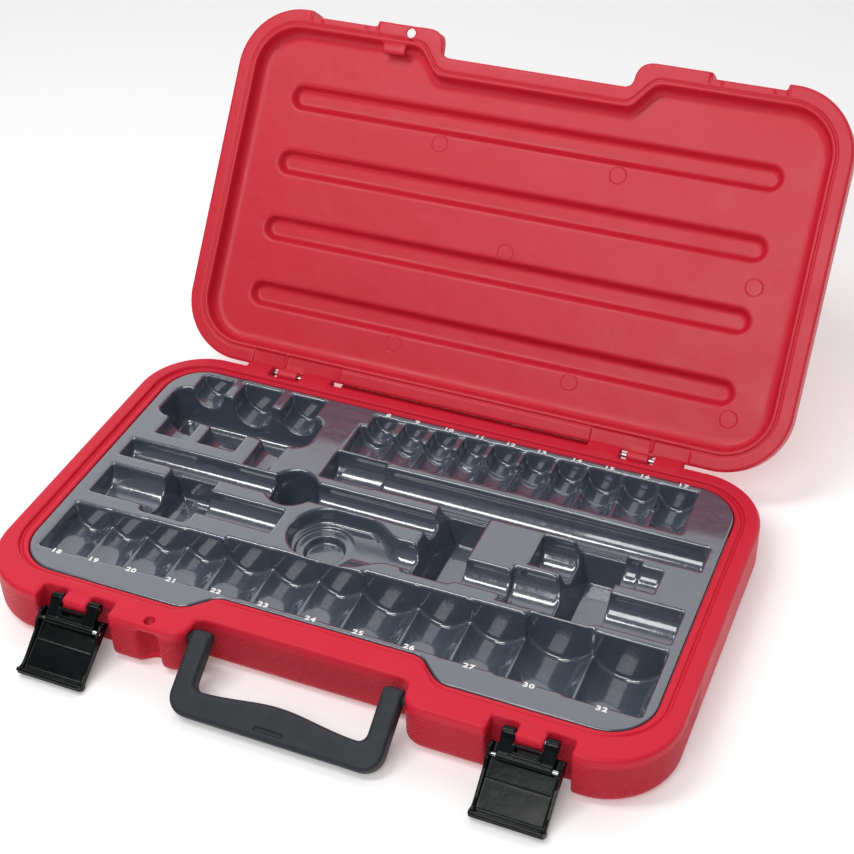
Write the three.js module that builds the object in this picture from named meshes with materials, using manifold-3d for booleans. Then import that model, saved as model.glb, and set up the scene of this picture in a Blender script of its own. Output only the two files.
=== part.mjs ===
// Carry case for a socket wrench set: two hollow shells, a formed tool tray, a handle and two draw latches.
// Millimetres, +Z up. Origin: centre of the flat underside. +X runs along the case, +Y from the handle
// side to the hinge side. The lid is built closed and then swung open about the hinge line.
import * as THREE from 'three';
import { mergeVertices } from 'three/addons/utils/BufferGeometryUtils.js';
import Module from 'manifold-3d';

const wasm = await Module();
wasm.setup();

// ---------------------------------------------------------------- driving dimensions
const CASE_W = 462;
const CASE_D = 267;
const BASE_H = 38;
const LID_H = 26;
const CORNER_R = 47;
const WALL = 1.8;
const EDGE_R = 8;
const PART_GAP = 0.3;

const RECESS_HALF = 72;
const RECESS_DEPTH = 19;
const MOUTH_R = 12;
const RECESS_R = 6;
const PADLOCK = { x: -98.5, y: -127.5, radius: 3.4, flute: 6.5, flange: 2.4 };

const TRAY_HALF_W = 213;
const TRAY_FRONT = -108.5;
const TRAY_BACK = 119;
const TRAY_TOP = BASE_H - 2;
const TRAY_T = 1.2;
const FLOOR_Z = 2.6;

const LID_DEPTH = 12;
const LID_GAP = 0.35;
const HINGE_Y = 136.3;
const HINGE_Z = BASE_H - 4.4;
const LID_OPEN = THREE.MathUtils.degToRad(127.25);

const LATCH_X = 152;
const PIN_R = 1.5;
const BORE_R = 1.6;
const LINK_PIVOT = new THREE.Vector2(-127, BASE_H - 4.5);
const LINK_CLOSED = new THREE.Vector2(-1.5, -14.4);
const LINK_SWING = THREE.MathUtils.degToRad(42.9);
const LEVER_OPEN = THREE.MathUtils.degToRad(122.5);
const LEVER_REACH = 35;

const HANDLE_Y = -123.5;
const HANDLE_Z = BASE_H - 8;
const HANDLE_HALF = 71;
const HANDLE_L = 48;
const HANDLE_T = 11;

const RED = 0xc41f33;
const GREY = 0x62656f;
const BLACK = 0x121314;
const CHARCOAL = 0x2c2f34;
const STEEL = 0xb9bcc0;

// ---------------------------------------------------------------- solids
const toSolid = (geometry, matrix = new THREE.Matrix4()) => {
  const plain = geometry.clone();
  plain.deleteAttribute('normal');
  plain.deleteAttribute('uv');
  const merged = mergeVertices(plain, 1e-5).applyMatrix4(matrix);
  const mesh = new wasm.Mesh({
    numProp: 3,
    vertProperties: new Float32Array(merged.attributes.position.array),
    triVerts: new Uint32Array(merged.index.array),
  });
  return new wasm.Manifold(mesh);
};

const toGeometry = (solid) => {
  const mesh = solid.getMesh();
  const geometry = new THREE.BufferGeometry();
  geometry.setAttribute('position', new THREE.BufferAttribute(mesh.vertProperties, 3));
  geometry.setIndex(new THREE.BufferAttribute(mesh.triVerts, 1));
  geometry.computeVertexNormals();
  return geometry;
};

const join = (solids) => solids.reduce((whole, solid) => whole.add(solid));
const cut = (body, solids) => solids.reduce((whole, solid) => whole.subtract(solid), body);

const box = (x0, x1, y0, y1, z0, z1) => {
  const place = new THREE.Matrix4().makeTranslation((x0 + x1) / 2, (y0 + y1) / 2, (z0 + z1) / 2);
  return toSolid(new THREE.BoxGeometry(x1 - x0, y1 - y0, z1 - z0), place);
};

const rodX = (radius, x0, x1, y, z, sides = 12) => {
  const turn = new THREE.Matrix4().makeRotationZ(-Math.PI / 2);
  const place = new THREE.Matrix4().makeTranslation((x0 + x1) / 2, y, z).multiply(turn);
  return toSolid(new THREE.CylinderGeometry(radius, radius, x1 - x0, sides), place);
};

const rodZ = (radius, x, y, z0, z1, sides = 20) => {
  const turn = new THREE.Matrix4().makeRotationX(Math.PI / 2);
  const place = new THREE.Matrix4().makeTranslation(x, y, (z0 + z1) / 2).multiply(turn);
  return toSolid(new THREE.CylinderGeometry(radius, radius, z1 - z0, sides), place);
};

const prismZ = (shape, z0, z1, segments = 6) => {
  const geometry = new THREE.ExtrudeGeometry(shape, { depth: z1 - z0, bevelEnabled: false, curveSegments: segments });
  return toSolid(geometry, new THREE.Matrix4().makeTranslation(0, 0, z0));
};

// An outline drawn in (y, z), pushed along X.
const prismX = (shape, x0, x1, segments = 8) => {
  const geometry = new THREE.ExtrudeGeometry(shape, { depth: x1 - x0, bevelEnabled: false, curveSegments: segments });
  const axes = new THREE.Matrix4().makeBasis(
    new THREE.Vector3(0, 1, 0), new THREE.Vector3(0, 0, 1), new THREE.Vector3(1, 0, 0));
  return toSolid(geometry, new THREE.Matrix4().makeTranslation(x0, 0, 0).multiply(axes));
};

// An outline drawn in (x, z), pushed along Y.
const prismY = (shape, y0, y1, segments = 8) => {
  const geometry = new THREE.ExtrudeGeometry(shape, { depth: y1 - y0, bevelEnabled: false, curveSegments: segments });
  const axes = new THREE.Matrix4().makeBasis(
    new THREE.Vector3(1, 0, 0), new THREE.Vector3(0, 0, 1), new THREE.Vector3(0, -1, 0));
  return toSolid(geometry, new THREE.Matrix4().makeTranslation(0, y1, 0).multiply(axes));
};

// A polygon with a radius at each corner, all its sides moved inwards by inset.
const roundedOutline = (corners, inset, steps = 5) => {
  const count = corners.length;
  const sides = corners.map(([x, y], i) => {
    const [nx, ny] = corners[(i + 1) % count];
    const along = new THREE.Vector2(nx - x, ny - y).normalize();
    const inward = new THREE.Vector2(-along.y, along.x);
    return { along, point: new THREE.Vector2(x, y).addScaledVector(inward, inset) };
  });
  const points = [];
  corners.forEach(([, , radius], i) => {
    const before = sides[(i + count - 1) % count];
    const after = sides[i];
    const cross = before.along.cross(after.along);
    const t = after.point.clone().sub(before.point).cross(after.along) / cross;
    const corner = before.point.clone().addScaledVector(before.along, t);
    const turn = Math.atan2(cross, before.along.dot(after.along));
    const r = Math.max(radius - Math.sign(turn) * inset, 0.4);
    const reach = r * Math.tan(Math.abs(turn) / 2);
    const start = corner.clone().addScaledVector(before.along, -reach);
    const side = new THREE.Vector2(-before.along.y, before.along.x).multiplyScalar(Math.sign(turn) * r);
    const centre = start.clone().add(side);
    for (let k = 0; k <= steps; k++) {
      const spoke = side.clone().negate().rotateAround(new THREE.Vector2(), turn * k / steps);
      points.push(centre.clone().add(spoke));
    }
  });
  return new THREE.Shape(points);
};

// Plan of both shells: a rounded rectangle with the handle recess let into its front side.
const caseOutline = (inset) => roundedOutline([
  [-CASE_W / 2, CASE_D / 2, CORNER_R],
  [-CASE_W / 2, -CASE_D / 2, CORNER_R],
  [-RECESS_HALF, -CASE_D / 2, MOUTH_R],
  [-RECESS_HALF, -CASE_D / 2 + RECESS_DEPTH, RECESS_R],
  [RECESS_HALF, -CASE_D / 2 + RECESS_DEPTH, RECESS_R],
  [RECESS_HALF, -CASE_D / 2, MOUTH_R],
  [CASE_W / 2, -CASE_D / 2, CORNER_R],
  [CASE_W / 2, CASE_D / 2, CORNER_R],
], inset);
// Plan of the mouth of the lid's wells, at inset 0: the sides of its recess slant like the tray's.
const LID_WELL = { rim: 14.2, notch: 71, mouth: 92, mouthR: 10, notchR: 7 };
const lidWellOutline = (inset) => {
  const half = CASE_W / 2 - LID_WELL.rim;
  const back = CASE_D / 2 - LID_WELL.rim;
  const notch = RECESS_DEPTH - back;
  const { mouth, mouthR, notchR } = LID_WELL;
  return roundedOutline([
    [-half, back, CORNER_R - LID_WELL.rim],
    [-half, -back, CORNER_R - LID_WELL.rim],
    [-mouth, -back, mouthR],
    [-LID_WELL.notch, notch, notchR],
    [LID_WELL.notch, notch, notchR],
    [mouth, -back, mouthR],
    [half, -back, CORNER_R - LID_WELL.rim],
    [half, back, CORNER_R - LID_WELL.rim],
  ], inset);
};

// Plan of the tray and of the wells that line up with it: half width, back, front, front at the recess.
const innerOutline = (halfW, back, front, notch, inset) => roundedOutline([
  [-halfW, back, 32],
  [-halfW, front, 32],
  [-87, front, 14],
  [-72, notch, 14],
  [72, notch, 14],
  [87, front, 14],
  [halfW, front, 32],
  [halfW, back, 32],
], inset);

const trayOutline = (inset) => innerOutline(TRAY_HALF_W, TRAY_BACK, TRAY_FRONT, -92, inset);
const ledgeOutline = (inset) => innerOutline(TRAY_HALF_W + 7.5, TRAY_BACK + 4, TRAY_FRONT - 5, -97, inset);

// A tub with a rounded lower edge, flat at z1. With flip the round edge is the upper one.
const tub = (inset, z0, z1, flip) => {
  const r = EDGE_R;
  const over = 20;
  const geometry = new THREE.ExtrudeGeometry(caseOutline(inset + r), {
    depth: z1 - z0 + over - 2 * r, bevelEnabled: true, bevelSize: r, bevelThickness: r, bevelSegments: 3,
  });
  const lift = flip ? z0 - over + r : z0 + r;
  const body = toSolid(geometry, new THREE.Matrix4().makeTranslation(0, 0, lift));
  const far = CASE_W;
  const spare = flip ? box(-far, far, -far, far, z0 - 2 * over, z0) : box(-far, far, -far, far, z1, z1 + 2 * over);
  return body.subtract(spare);
};

// A blow-moulded shell: an outer skin and the skins of its wells, WALL thick, round one hollow chamber.
// The pads are places where the chamber stays filled.
const hollowShell = (outer, wells, pads, vent) => {
  const skin = cut(outer(0), wells.map((well) => well(0)));
  const chamber = cut(outer(WALL), [...wells.map((well) => well(WALL)), ...pads]);
  return cut(skin, [chamber, vent]);
};

// ---------------------------------------------------------------- latch places
const latchSides = [-LATCH_X, LATCH_X];
const BAY_HALF = 26;
const BAY_BACK = -121.5;
const BOSS_HALF = 9;
const ARM_W = 8;
const CATCH_FACE = -129;
const CATCH_TOP = BASE_H + 14;

// ---------------------------------------------------------------- base shell
const KNUCKLE_R = 4.4;
const KNUCKLE_RISE = 0.8;
const PANEL = { x: [97, 168.5], y: 122, depth: 1.4 };
const STOP_RIB = { half: 96, y: 147.2, z: [-13.5, -9.9] };
const STUB_R = 3;
const hingeSides = [-1, 1];
const LID_KNUCKLE = [126.9, 142.6];
const BASE_KNUCKLES = [[99, 122.4], [147.2, 167]];

const spanX = (side, [near, far]) => (side > 0 ? [near, far] : [-far, -near]);

const baseShell = () => {
  const wells = [
    (g) => prismZ(trayOutline(-0.5 - g), TRAY_TOP - TRAY_T - PART_GAP - g, BASE_H + 5),
    (g) => prismZ(trayOutline(1.5 - g), FLOOR_Z - g, BASE_H + 5),
    (g) => prismZ(ledgeOutline(-g), BASE_H - 1.2 - g, BASE_H + 5),
    ...latchSides.map((x) => (g) =>
      box(x - BAY_HALF - g, x + BAY_HALF + g, -CASE_D, BAY_BACK + g, -5, BASE_H + 5)),
    (g) => rodZ(PADLOCK.flute + g, PADLOCK.x, PADLOCK.y - 1, -5, BASE_H - PADLOCK.flange + g),
  ];
  const outer = (g) => tub(g, g, BASE_H - g, false);
  const pads = [-1, 1].flatMap((side) => {
    const [h0, h1] = spanX(side, [94, 172]);
    const [s0, s1] = spanX(side, [RECESS_HALF - 2, RECESS_HALF + 17]);
    return [box(h0, h1, 124.5, CASE_D, HINGE_Z - 8, BASE_H), box(s0, s1, -CASE_D, -115, HANDLE_Z - 7, BASE_H)];
  });
  const vent = rodZ(3, 0, 125, -1, 6);
  let body = hollowShell(outer, wells, pads, vent);
  body = body.subtract(rodZ(PADLOCK.radius, PADLOCK.x, PADLOCK.y, -1, BASE_H + 1));
  for (const x of latchSides) {
    const nose = rodX(4, x - BOSS_HALF, x + BOSS_HALF, LINK_PIVOT.x, LINK_PIVOT.y);
    const root = box(x - BOSS_HALF, x + BOSS_HALF, LINK_PIVOT.x, BAY_BACK + 1, LINK_PIVOT.y - 4, BASE_H - 0.6);
    body = cut(join([body, nose, root]), [rodX(BORE_R, x - 20, x + 20, LINK_PIVOT.x, LINK_PIVOT.y)]);
  }
  const rib = box(-STOP_RIB.half, STOP_RIB.half, CASE_D / 2 - 1.5, STOP_RIB.y, ...STOP_RIB.z.map((z) => BASE_H + z));
  body = body.add(rib);
  for (const side of hingeSides) {
    const [k0, k1] = spanX(side, [BASE_KNUCKLES[0][1] + 0.1, BASE_KNUCKLES[1][0] - 0.1]);
    body = body.subtract(box(k0, k1, 127.5, CASE_D, HINGE_Z - KNUCKLE_R - 0.7, BASE_H + 1));
    for (const knuckle of BASE_KNUCKLES) {
      const [x0, x1] = spanX(side, knuckle);
      const barrel = rodX(KNUCKLE_R, x0, x1, HINGE_Y, HINGE_Z);
      const block = box(x0, x1, 126, HINGE_Y, HINGE_Z - KNUCKLE_R, BASE_H + KNUCKLE_RISE - 1);
      const crown = box(x0, x1, 127, HINGE_Y - 0.5, HINGE_Z, BASE_H + KNUCKLE_RISE);
      body = join([body, barrel, block, crown]);
    }
    const [p0, p1] = spanX(side, [94, 172]);
    body = cut(body, [rodX(BORE_R, p0, p1, HINGE_Y, HINGE_Z)]);
    const [s0, s1] = spanX(side, [RECESS_HALF - 4, RECESS_HALF + 10]);
    body = cut(body, [rodX(STUB_R + 0.1, s0, s1, HANDLE_Y, HANDLE_Z, 20)]);
  }
  return body;
};

// ---------------------------------------------------------------- lid shell, in its closed place
const LID_Z = BASE_H + LID_GAP;
const LID_TOP = BASE_H + LID_H;
// Behind its flange the lid is set back at both sides of the handle recess.
const CHEEK = { back: 6.5, y: -115.5, flange: 3 };
const GROOVES = { half: 186, ys: [79.5, 29, -21, -71], radius: 9.5, depth: 4 };

const lidShell = () => {
  const slot = (y, g) => {
    const r = GROOVES.radius + g;
    const x = GROOVES.half - GROOVES.radius;
    const z1 = LID_Z + LID_DEPTH + GROOVES.depth + g;
    return join([rodZ(r, -x, y, LID_Z, z1, 16), rodZ(r, x, y, LID_Z, z1, 16), box(-x, x, y - r, y + r, LID_Z, z1)]);
  };
  const wells = [
    (g) => prismZ(lidWellOutline(0.3 - g), LID_Z - 5, LID_Z + 5 + g),
    (g) => prismZ(lidWellOutline(1.5 - g), LID_Z - 5, LID_Z + LID_DEPTH + g),
    ...GROOVES.ys.map((y) => (g) => slot(y, g)),
    ...latchSides.map((x) => (g) =>
      box(x - BAY_HALF - g, x + BAY_HALF + g, -CASE_D, CATCH_FACE + 4.5 + g, CATCH_TOP - g, LID_TOP + 5)),
    ...latchSides.map((x) => (g) =>
      box(x - BAY_HALF - g, x + BAY_HALF + g, -CASE_D, CATCH_FACE + g, LID_Z - 5, LID_TOP + 5)),
    (g) => rodZ(PADLOCK.flute + g, PADLOCK.x, PADLOCK.y - 1, LID_Z + PADLOCK.flange - g, LID_TOP + 5),
    ...hingeSides.map((side) => (g) => {
      const [n0, n1] = spanX(side, [RECESS_HALF - 2 - g, RECESS_HALF + CHEEK.back + g]);
      return box(n0, n1, -CASE_D, CHEEK.y + g, LID_Z + CHEEK.flange - g, LID_TOP + 5);
    }),
    ...hingeSides.map((side) => (g) => {
      const [n0, n1] = spanX(side, PANEL.x);
      return box(n0 - g, n1 + g, PANEL.y - g, CASE_D, LID_Z - 5, LID_Z + PANEL.depth + g);
    }),
  ];
  const outer = (g) => tub(g, LID_Z + g, LID_TOP - g, true);
  const vent = rodZ(3, 200, 0, LID_TOP - 6, LID_TOP + 1);
  let body = hollowShell(outer, wells, [], vent);
  const seamIsland = prismZ(lidWellOutline(-2.9), LID_Z - 1, LID_Z + 2);
  body = body.subtract(prismZ(lidWellOutline(-3.9), LID_Z - 0.5, LID_Z + 0.8).subtract(seamIsland));
  body = body.subtract(rodZ(PADLOCK.radius, PADLOCK.x, PADLOCK.y, LID_Z - 1, LID_TOP + 1));
  for (const side of hingeSides) {
    const [x0, x1] = spanX(side, LID_KNUCKLE);
    const barrel = rodX(KNUCKLE_R, x0, x1, HINGE_Y, HINGE_Z);
    const arm = box(x0, x1, HINGE_Y - 3, HINGE_Y + KNUCKLE_R, HINGE_Z, LID_Z + 7);
    const foot = box(x0, x1, CASE_D / 2 - 4, HINGE_Y, LID_Z + PANEL.depth, LID_Z + 7);
    body = cut(join([body, barrel, arm, foot]), [rodX(BORE_R, x0 - 5, x1 + 5, HINGE_Y, HINGE_Z)]);
  }
  return body;
};

// ---------------------------------------------------------------- tool tray
// Every pocket is written once as a function of how far its walls are moved outwards: 0 gives the hollow,
// TRAY_T gives the sheet round it. Depths are measured down from the rim plane of the base.
const pocketTop = (g) => (g > 0 ? TRAY_TOP - 0.1 : BASE_H + 1);

const boxPocket = (x0, x1, y0, y1, depth) => (g) =>
  box(x0 - g, x1 + g, y0 - g, y1 + g, BASE_H - depth - g, pocketTop(g));

const roundPocket = (x, y, radius, depth) => (g) =>
  rodZ(radius + g, x, y, BASE_H - depth - g, pocketTop(g));

// A trough with upright sides and a round bottom across the range a0 to a1.
const troughShape = (a0, a1, depth, g) => {
  const half = (a1 - a0) / 2 + g;
  const mid = (a0 + a1) / 2;
  const low = BASE_H - depth - g;
  const rise = Math.min(half, pocketTop(g) - low - 0.5);
  const shape = new THREE.Shape();
  shape.moveTo(mid + half, pocketTop(g));
  shape.lineTo(mid - half, pocketTop(g));
  for (let k = 0; k <= 10; k++) {
    const angle = Math.PI * (1 + k / 10);
    shape.lineTo(mid + half * Math.cos(angle), low + rise + rise * Math.sin(angle));
  }
  return shape;
};

const troughAlongX = (x0, x1, y0, y1, depth) => (g) => prismX(troughShape(y0, y1, depth, g), x0 - g, x1 + g);
const troughAlongY = (x0, x1, y0, y1, depth) => (g) => prismY(troughShape(x0, x1, depth, g), y0 - g, y1 + g);

// Front row, one pocket for each large socket. Each has its edges along X and the width of its arc.
const FRONT_EDGES = [-203.5, -177.5, -150.4, -120.6, -91.3, -58.7, -25.6, 6, 43.7, 79.4, 116.5, 158.9, 205.5];
const FRONT_BACKS = [-44.5, -44.5, -43.5, -43, -40.2, -39.8, -39.5, -37.2, -37.2, -37.2, -34.5, -34.5];
const frontDepth = (i) => Math.min(22 + (FRONT_EDGES[i + 1] - FRONT_EDGES[i] - 25) * 0.72, 33.9);
const frontFront = (x) => -86.4 - 4.1 * (x / 205) ** 2;

const frontPocket = (i) => (g) => {
  const [x0, x1] = [FRONT_EDGES[i], FRONT_EDGES[i + 1]];
  const half = (x1 - x0) / 2;
  const mid = (x0 + x1) / 2;
  const radius = half * 1.18 + g;
  const low = BASE_H - frontDepth(i) - g;
  const spread = Math.asin(Math.min((half + g) / radius, 1));
  const shape = new THREE.Shape();
  shape.moveTo(x1 + g, pocketTop(g));
  shape.lineTo(x0 - g, pocketTop(g));
  for (let k = 0; k <= 8; k++) {
    const angle = spread * (k / 4 - 1);
    shape.lineTo(mid + radius * Math.sin(angle), low + radius - radius * Math.cos(angle));
  }
  return prismY(shape, frontFront(mid) - g, FRONT_BACKS[i] + g);
};

// Back row: each pocket has a narrow seat for the socket's nose behind a wider one for its drive end.
const BACK_EDGES = [-57, -33, -10, 13, 35.5, 59.5, 83.5, 106.5, 131.5, 157, 183.5];
const BACK_Y = [71, 98, 113.5];
const BACK_RIDGES = [3.3, 3.3, 5.9, 6.8, 8.1, 8.5, 11.6, 14.3, 14.3];
const backPocket = (i) => (g) => {
  const [x0, x1] = [BACK_EDGES[i] - 0.05, BACK_EDGES[i + 1] + 0.05];
  const noseInset = Math.max(3.4 - 0.5 * i, 0.2);
  const deep = troughAlongY(x0, x1, BACK_Y[0], BACK_Y[1], 19.5 + 0.25 * i)(g);
  const seat = troughAlongY(x0 + noseInset, x1 - noseInset, BACK_Y[1] - 1, BACK_Y[2], 15 + 0.7 * i)(g);
  return join([deep, seat]);
};

const HOLE_DEPTH = 34;
const trayPockets = [
  ...FRONT_BACKS.map((_, i) => frontPocket(i)),
  ...BACK_EDGES.slice(1).map((_, i) => backPocket(i)),
  ...BACK_RIDGES.map((low, i) => boxPocket(BACK_EDGES[i + 1] - 5, BACK_EDGES[i + 1] + 5, 71.5, 97.5, low)),
  // three upright troughs crossed by one finger hole
  troughAlongY(-192, -168, 41, 113, 17.5),
  troughAlongY(-159, -129, 42, 114, 24),
  troughAlongY(-119, -95, 61, 115, 21),
  troughAlongY(-117, -98, 32, 63, 15),
  boxPocket(-203.5, -85, 62, 95, HOLE_DEPTH),
  // bar groove with its round finger hole
  troughAlongX(-203.5, -85, 10.5, 28.5, 15),
  troughAlongX(-66, 30, 13, 30.5, 15),
  roundPocket(-74, 21, 17, HOLE_DEPTH),
  // adapter pocket, finger hole and shank groove
  troughAlongX(-202, -150, -30.5, -1, 18),
  boxPocket(-160, -125, -36, 16, HOLE_DEPTH),
  troughAlongX(-130, -68, -25, -3, 15),
  // ratchet head, neck and grip
  roundPocket(-34.5, -13.5, 23.5, 15),
  roundPocket(-20, -10.5, 20, 15),
  roundPocket(-33, -15.5, 14, 22),
  troughAlongX(-10, 30, -24, -2, 15),
  troughAlongX(60, 97, -24, -3, 15),
  troughAlongX(94, 125, -30, 2, 19),
  troughAlongX(155, 205, -28, 1, 18.5),
  boxPocket(26, 62, -27, 45, HOLE_DEPTH),
  boxPocket(122, 157, -30, 45, HOLE_DEPTH),
  // long extension
  troughAlongX(-61.5, -24, 39.5, 68, 20),
  troughAlongX(-26, 204.5, 40.5, 63, 18),
  // universal joint
  troughAlongX(102, 124, 8, 37, 21),
  troughAlongX(155, 168, 11, 36, 17),
  troughAlongX(166, 183, 11, 31.5, 14),
];

const toolTray = () => {
  const plate = prismZ(trayOutline(0), TRAY_TOP - TRAY_T, TRAY_TOP);
  const sheet = join([plate, ...trayPockets.map((pocket) => pocket(TRAY_T))]);
  return cut(sheet, trayPockets.map((pocket) => pocket(0)));
};

// ---------------------------------------------------------------- handle, hanging straight down
const handleBail = () => {
  const half = HANDLE_HALF;
  const outer = roundedOutline([
    [-half, 8, 1], [-half + 2, -HANDLE_L, 13], [half - 2, -HANDLE_L, 13], [half, 8, 1],
  ], 0);
  const inner = roundedOutline([
    [-half + 12, 20, 1], [-half + 14, 17 - HANDLE_L, 8], [0, 23 - HANDLE_L, 90], [half - 14, 17 - HANDLE_L, 8],
    [half - 12, 20, 1],
  ], 0);
  const thick = HANDLE_T / 2;
  const profile = new THREE.Shape();
  profile.absarc(0, 0, thick, 0, Math.PI, false);
  profile.lineTo(-thick, -HANDLE_L + 3);
  profile.lineTo(-thick + 3, -HANDLE_L);
  profile.lineTo(thick - 3, -HANDLE_L);
  profile.lineTo(thick, -HANDLE_L + 3);
  const bail = prismX(profile, -CASE_D, CASE_D).intersect(prismY(outer, -CASE_D, CASE_D));
  const stubs = [-1, 1].map((side) => {
    const [x0, x1] = spanX(side, [half - 3, RECESS_HALF + 8]);
    return rodX(STUB_R, x0, x1, 0, 0, 20);
  });
  return join([cut(bail, [prismY(inner, -CASE_D, CASE_D)]), ...stubs]);
};

// ---------------------------------------------------------------- draw latch, in its closed place at x = 0
const LINK_END = LINK_PIVOT.clone().add(LINK_CLOSED);
const PLATE_IN = -131.6;
const PLATE_T = 1.9;
const LEVER_HALF = 22.75;
const TAIL = 8;

const latchLink = () => {
  const half = BOSS_HALF + 0.3 + ARM_W;
  const parts = [-1, 1].map((side) => {
    const x0 = side > 0 ? BOSS_HALF + 0.4 : -half;
    const eye = rodX(3.4, x0, x0 + half - BOSS_HALF - 0.4, LINK_PIVOT.x, LINK_PIVOT.y);
    const arm = box(x0, x0 + half - BOSS_HALF - 0.4, LINK_END.x - 1.6, LINK_END.x + 2.4, LINK_END.y, LINK_PIVOT.y);
    return join([eye, arm]);
  });
  const barrel = rodX(2.7, -half, half, LINK_END.x, LINK_END.y);
  const bridge = box(-half, half, LINK_END.x - 1.2, LINK_END.x + 1.2, LINK_END.y, LINK_PIVOT.y - 5);
  const window = box(-7.5, 7.5, LINK_END.x - 5, LINK_END.x + 5, LINK_END.y + 4.2, LINK_PIVOT.y - 6.6);
  return cut(join([...parts, barrel, bridge]), [
    window,
    rodX(BORE_R, -half - 1, half + 1, LINK_PIVOT.x, LINK_PIVOT.y),
    rodX(BORE_R, -half - 1, half + 1, LINK_END.x, LINK_END.y),
  ]);
};

const latchLever = () => {
  const top = LINK_END.y + LEVER_REACH;
  const side = new THREE.Shape();
  side.moveTo(PLATE_IN - PLATE_T, LINK_END.y - TAIL);
  side.lineTo(PLATE_IN, LINK_END.y - TAIL);
  side.lineTo(PLATE_IN, top - 3);
  side.lineTo(PLATE_IN + 2.2, top - 1.2);
  side.lineTo(PLATE_IN + 6, top - 1.2);
  side.lineTo(PLATE_IN + 6, top + 1.6);
  side.lineTo(PLATE_IN - PLATE_T + 1, top + 1.6);
  side.lineTo(PLATE_IN - PLATE_T, top);
  const plate = prismX(side, -LEVER_HALF, LEVER_HALF);
  const flange = new THREE.Shape();
  flange.moveTo(PLATE_IN - 1, LINK_END.y - TAIL);
  flange.lineTo(PLATE_IN + 4, LINK_END.y - TAIL + 3);
  flange.lineTo(LINK_END.x + 3.2, LINK_END.y - 3);
  flange.lineTo(LINK_END.x + 3.2, LINK_END.y + 3);
  flange.lineTo(PLATE_IN + 3.4, LINK_END.y + 8);
  flange.lineTo(PLATE_IN + 1.6, top - 8);
  flange.lineTo(PLATE_IN - 1, top - 6);
  const cheeks = [prismX(flange, -LEVER_HALF, -LEVER_HALF + 2), prismX(flange, LEVER_HALF - 2, LEVER_HALF)];
  const bore = rodX(BORE_R, -LEVER_HALF - 1, LEVER_HALF + 1, LINK_END.x, LINK_END.y);
  return cut(join([plate, ...cheeks]), [bore]);
};

// ---------------------------------------------------------------- assembly
const materials = {
  shell: new THREE.MeshStandardMaterial({ color: RED, roughness: 0.45, metalness: 0 }),
  tray: new THREE.MeshStandardMaterial({ color: GREY, roughness: 0.3, metalness: 0 }),
  latch: new THREE.MeshStandardMaterial({ color: BLACK, roughness: 0.25, metalness: 0 }),
  handle: new THREE.MeshStandardMaterial({ color: CHARCOAL, roughness: 0.6, metalness: 0 }),
  steel: new THREE.MeshStandardMaterial({ color: STEEL, roughness: 0.3, metalness: 1 }),
};

const group = new THREE.Group();

const addPiece = (parent, name, solid, material) => {
  const mesh = new THREE.Mesh(toGeometry(solid), material.clone());
  mesh.name = name;
  parent.add(mesh);
  return mesh;
};

// A group turned by angle about a line along X through (y, z), for pieces drawn in their closed place.
const hinged = (parent, y, z, angle) => {
  const pivot = new THREE.Group();
  pivot.position.set(0, y, z);
  pivot.rotation.x = angle;
  const inner = new THREE.Group();
  inner.position.set(0, -y, -z);
  pivot.add(inner);
  parent.add(pivot);
  return inner;
};

addPiece(group, 'base_shell', baseShell(), materials.shell);
addPiece(group, 'tool_tray', toolTray(), materials.tray);

const lidGroup = hinged(group, HINGE_Y, HINGE_Z, -LID_OPEN);
addPiece(lidGroup, 'lid_shell', lidShell(), materials.shell);

for (const side of hingeSides) {
  const [x0, x1] = spanX(side, [99.5, 166.5]);
  const name = side < 0 ? 'hinge_pin_left' : 'hinge_pin_right';
  addPiece(group, name, rodX(PIN_R, x0, x1, HINGE_Y, HINGE_Z), materials.steel);
}

// The handle swings out until its grip clears the surface that the case stands on.
const handleTilt = () => {
  let angle = 0;
  const corner = (a, out, down) => HANDLE_Z - down * Math.cos(a) - out * Math.sin(a);
  const lowest = (a) => Math.min(corner(a, HANDLE_T / 2, HANDLE_L - 3), corner(a, HANDLE_T / 2 - 3, HANDLE_L));
  while (lowest(angle) < 0.5) angle += THREE.MathUtils.degToRad(0.25);
  return angle;
};
const handlePivot = new THREE.Group();
handlePivot.position.set(0, HANDLE_Y, HANDLE_Z);
handlePivot.rotation.x = -handleTilt();
group.add(handlePivot);
addPiece(handlePivot, 'handle', handleBail(), materials.handle);

for (const x of latchSides) {
  const where = x < 0 ? 'left' : 'right';
  const latch = new THREE.Group();
  latch.position.x = x;
  group.add(latch);
  const armEnd = BOSS_HALF + ARM_W;
  addPiece(latch, `latch_pin_${where}`, rodX(PIN_R, -armEnd, armEnd, LINK_PIVOT.x, LINK_PIVOT.y), materials.steel);
  const link = hinged(latch, LINK_PIVOT.x, LINK_PIVOT.y, -LINK_SWING);
  addPiece(link, `latch_link_${where}`, latchLink(), materials.latch);
  addPiece(link, `lever_pin_${where}`,
    rodX(PIN_R, -LEVER_HALF + 0.2, LEVER_HALF - 0.2, LINK_END.x, LINK_END.y), materials.steel);
  const lever = hinged(link, LINK_END.x, LINK_END.y, LEVER_OPEN + LINK_SWING);
  addPiece(lever, `latch_lever_${where}`, latchLever(), materials.latch);
}

export default group;
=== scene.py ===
import math

import bmesh
import bpy
import numpy as np
from mathutils import Matrix, Vector


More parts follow.
